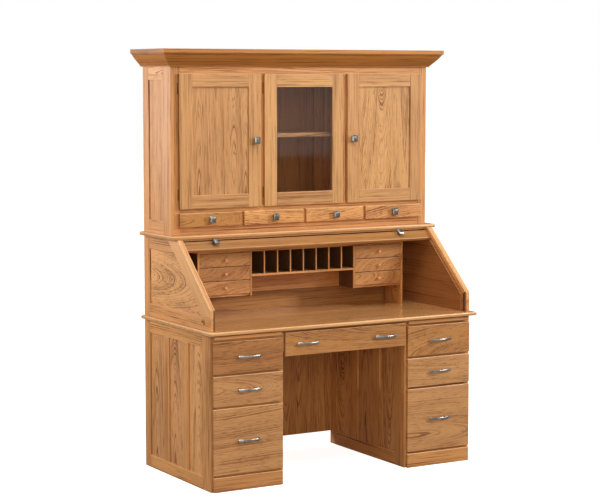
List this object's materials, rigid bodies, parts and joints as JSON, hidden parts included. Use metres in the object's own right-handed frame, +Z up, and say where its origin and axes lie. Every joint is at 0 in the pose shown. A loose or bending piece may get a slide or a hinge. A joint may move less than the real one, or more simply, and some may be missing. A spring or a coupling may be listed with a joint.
{
  "type": "roll-top desk with hutch",
  "caption": "Oak roll-top desk: drawer pedestals, a slatted curtain over a pigeonhole organizer, and a hutch with panelled and glazed doors.",
  "frame": {"origin": "on the floor, under the centre of the desk's overall box", "axes": "+Z up, -Y towards the person at the desk, +X to that person's right"},
  "size_m": [1.605, 0.7542, 2.076],
  "materials": {
    "oak": "satin varnish",
    "pewter": "aged pewter",
    "brass": "satin",
    "glass": "clear"
  },
  "bodies": {
    "desk_case": {"back_panels": "oak", "crown_moulding": "oak", "desk_top": "oak", "door_hinges": "brass", "drawer_runners": "oak", "hutch_decks_and_shelves": "oak", "hutch_face_frame": "oak", "hutch_sides": "oak", "ledge_board": "oak", "left_pedestal_sides": "oak", "left_roll_side": "oak", "lock_barrel": "brass", "modesty_panel": "oak", "organizer_case": "oak", "pedestal_face_frames": "oak", "pedestal_floors": "oak", "right_pedestal_sides": "oak", "right_roll_side": "oak"},
    "left_top_drawer": {"left_top_drawer": "oak", "left_top_drawer_pull": "pewter"},
    "left_middle_drawer": {"left_middle_drawer": "oak", "left_middle_drawer_pull": "pewter"},
    "left_bottom_drawer": {"left_bottom_drawer": "oak", "left_bottom_drawer_pull": "pewter"},
    "left_writing_board": {"left_writing_board": "oak"},
    "right_top_drawer": {"right_top_drawer": "oak", "right_top_drawer_pull": "pewter"},
    "right_middle_drawer": {"right_middle_drawer": "oak", "right_middle_drawer_pull": "pewter"},
    "right_bottom_drawer": {"right_bottom_drawer": "oak", "right_bottom_drawer_pull": "pewter"},
    "right_writing_board": {"right_writing_board": "oak"},
    "centre_drawer": {"centre_drawer": "oak", "centre_drawer_pulls": "pewter"},
    "hutch_drawer_1": {"hutch_drawer_1": "oak", "hutch_drawer_1_knob": "pewter"},
    "hutch_drawer_2": {"hutch_drawer_2": "oak", "hutch_drawer_2_knob": "pewter"},
    "hutch_drawer_3": {"hutch_drawer_3": "oak", "hutch_drawer_3_knob": "pewter"},
    "hutch_drawer_4": {"hutch_drawer_4": "oak", "hutch_drawer_4_knob": "pewter"},
    "left_organizer_top_drawer": {"left_organizer_top_drawer": "oak"},
    "left_organizer_middle_drawer": {"left_organizer_middle_drawer": "oak"},
    "left_organizer_bottom_drawer": {"left_organizer_bottom_drawer": "oak"},
    "right_organizer_top_drawer": {"right_organizer_top_drawer": "oak"},
    "right_organizer_middle_drawer": {"right_organizer_middle_drawer": "oak"},
    "right_organizer_bottom_drawer": {"right_organizer_bottom_drawer": "oak"},
    "left_door": {"left_door": "oak", "left_door_knob": "pewter"},
    "centre_door": {"centre_door": "oak", "centre_door_glass": "glass"},
    "right_door": {"right_door": "oak", "right_door_knob": "pewter"},
    "roll_curtain": {"roll_curtain": "oak"},
    "roll_curtain_tail": {"roll_curtain_tail": "oak"},
    "roll_curtain_lower_slat": {"roll_curtain_lower_slat": "oak"},
    "lift_rail": {"lift_rail": "oak", "lift_rail_knobs": "pewter"},
    "lock_plug": {"lock_plug": "brass"}
  },
  "joints": [
    {"name": "left_top_drawer_slide", "type": "slide", "parent": "desk_case", "child": "left_top_drawer", "axis": [0, -1, 0], "range_m": [0, 0.42]},
    {"name": "left_middle_drawer_slide", "type": "slide", "parent": "desk_case", "child": "left_middle_drawer", "axis": [0, -1, 0], "range_m": [0, 0.42]},
    {"name": "left_bottom_drawer_slide", "type": "slide", "parent": "desk_case", "child": "left_bottom_drawer", "axis": [0, -1, 0], "range_m": [0, 0.42]},
    {"name": "left_writing_board_slide", "type": "slide", "parent": "desk_case", "child": "left_writing_board", "axis": [0, -1, 0], "range_m": [0, 0.3]},
    {"name": "right_top_drawer_slide", "type": "slide", "parent": "desk_case", "child": "right_top_drawer", "axis": [0, -1, 0], "range_m": [0, 0.42]},
    {"name": "right_middle_drawer_slide", "type": "slide", "parent": "desk_case", "child": "right_middle_drawer", "axis": [0, -1, 0], "range_m": [0, 0.42]},
    {"name": "right_bottom_drawer_slide", "type": "slide", "parent": "desk_case", "child": "right_bottom_drawer", "axis": [0, -1, 0], "range_m": [0, 0.42]},
    {"name": "right_writing_board_slide", "type": "slide", "parent": "desk_case", "child": "right_writing_board", "axis": [0, -1, 0], "range_m": [0, 0.3]},
    {"name": "centre_drawer_slide", "type": "slide", "parent": "desk_case", "child": "centre_drawer", "axis": [0, -1, 0], "range_m": [0, 0.36]},
    {"name": "hutch_drawer_1_slide", "type": "slide", "parent": "desk_case", "child": "hutch_drawer_1", "axis": [0, -1, 0], "range_m": [0, 0.19]},
    {"name": "hutch_drawer_2_slide", "type": "slide", "parent": "desk_case", "child": "hutch_drawer_2", "axis": [0, -1, 0], "range_m": [0, 0.19]},
    {"name": "hutch_drawer_3_slide", "type": "slide", "parent": "desk_case", "child": "hutch_drawer_3", "axis": [0, -1, 0], "range_m": [0, 0.19]},
    {"name": "hutch_drawer_4_slide", "type": "slide", "parent": "desk_case", "child": "hutch_drawer_4", "axis": [0, -1, 0], "range_m": [0, 0.19]},
    {"name": "left_organizer_top_drawer_slide", "type": "slide", "parent": "desk_case", "child": "left_organizer_top_drawer", "axis": [0, -1, 0], "range_m": [0, 0.095]},
    {"name": "left_organizer_middle_drawer_slide", "type": "slide", "parent": "desk_case", "child": "left_organizer_middle_drawer", "axis": [0, -1, 0], "range_m": [0, 0.095]},
    {"name": "left_organizer_bottom_drawer_slide", "type": "slide", "parent": "desk_case", "child": "left_organizer_bottom_drawer", "axis": [0, -1, 0], "range_m": [0, 0.095]},
    {"name": "right_organizer_top_drawer_slide", "type": "slide", "parent": "desk_case", "child": "right_organizer_top_drawer", "axis": [0, -1, 0], "range_m": [0, 0.095]},
    {"name": "right_organizer_middle_drawer_slide", "type": "slide", "parent": "desk_case", "child": "right_organizer_middle_drawer", "axis": [0, -1, 0], "range_m": [0, 0.095]},
    {"name": "right_organizer_bottom_drawer_slide", "type": "slide", "parent": "desk_case", "child": "right_organizer_bottom_drawer", "axis": [0, -1, 0], "range_m": [0, 0.095]},
    {"name": "left_door_hinge", "type": "hinge", "parent": "desk_case", "child": "left_door", "pos_m": [-0.6975, 0.06985, 1.631], "axis": [0, 0, -1], "range_deg": [0, 90]},
    {"name": "centre_door_hinge", "type": "hinge", "parent": "desk_case", "child": "centre_door", "pos_m": [-0.23, 0.06985, 1.631], "axis": [0, 0, -1], "range_deg": [0, 90]},
    {"name": "right_door_hinge", "type": "hinge", "parent": "desk_case", "child": "right_door", "pos_m": [0.6975, 0.06985, 1.631], "axis": [0, 0, 1], "range_deg": [0, 90]},
    {"name": "roll_curtain_run", "type": "hinge", "parent": "desk_case", "child": "roll_curtain", "pos_m": [0, 0.26051, 0.53328], "axis": [-1, 0, 0], "range_deg": [-41.93, 0]},
    {"name": "tail_fold", "type": "hinge", "parent": "roll_curtain", "child": "roll_curtain_tail", "pos_m": [0, 0.36065, 1.137], "axis": [-1, 0, 0], "range_deg": [-90.01, 0]},
    {"name": "lower_slat_fold", "type": "hinge", "parent": "roll_curtain", "child": "roll_curtain_lower_slat", "pos_m": [0, 0.05494, 1.137], "axis": [-1, 0, 0], "range_deg": [-48.08, 0]},
    {"name": "lift_rail_fold", "type": "hinge", "parent": "roll_curtain_lower_slat", "child": "lift_rail", "pos_m": [0, 0.02918, 1.137], "axis": [-1, 0, 0], "range_deg": [0, 41.94]},
    {"name": "lock_turn", "type": "hinge", "parent": "desk_case", "child": "lock_plug", "pos_m": [-0.7365, -0.26685, 0.801], "axis": [-1, 0, 0], "range_deg": [0, 90]}
  ],
  "couplings": [
    {"joint": "tail_fold", "follows": "roll_curtain_run", "ratio": 2.1464},
    {"joint": "lower_slat_fold", "follows": "roll_curtain_run", "ratio": 1.1464},
    {"joint": "lift_rail_fold", "follows": "roll_curtain_run", "ratio": -1}
  ]
}
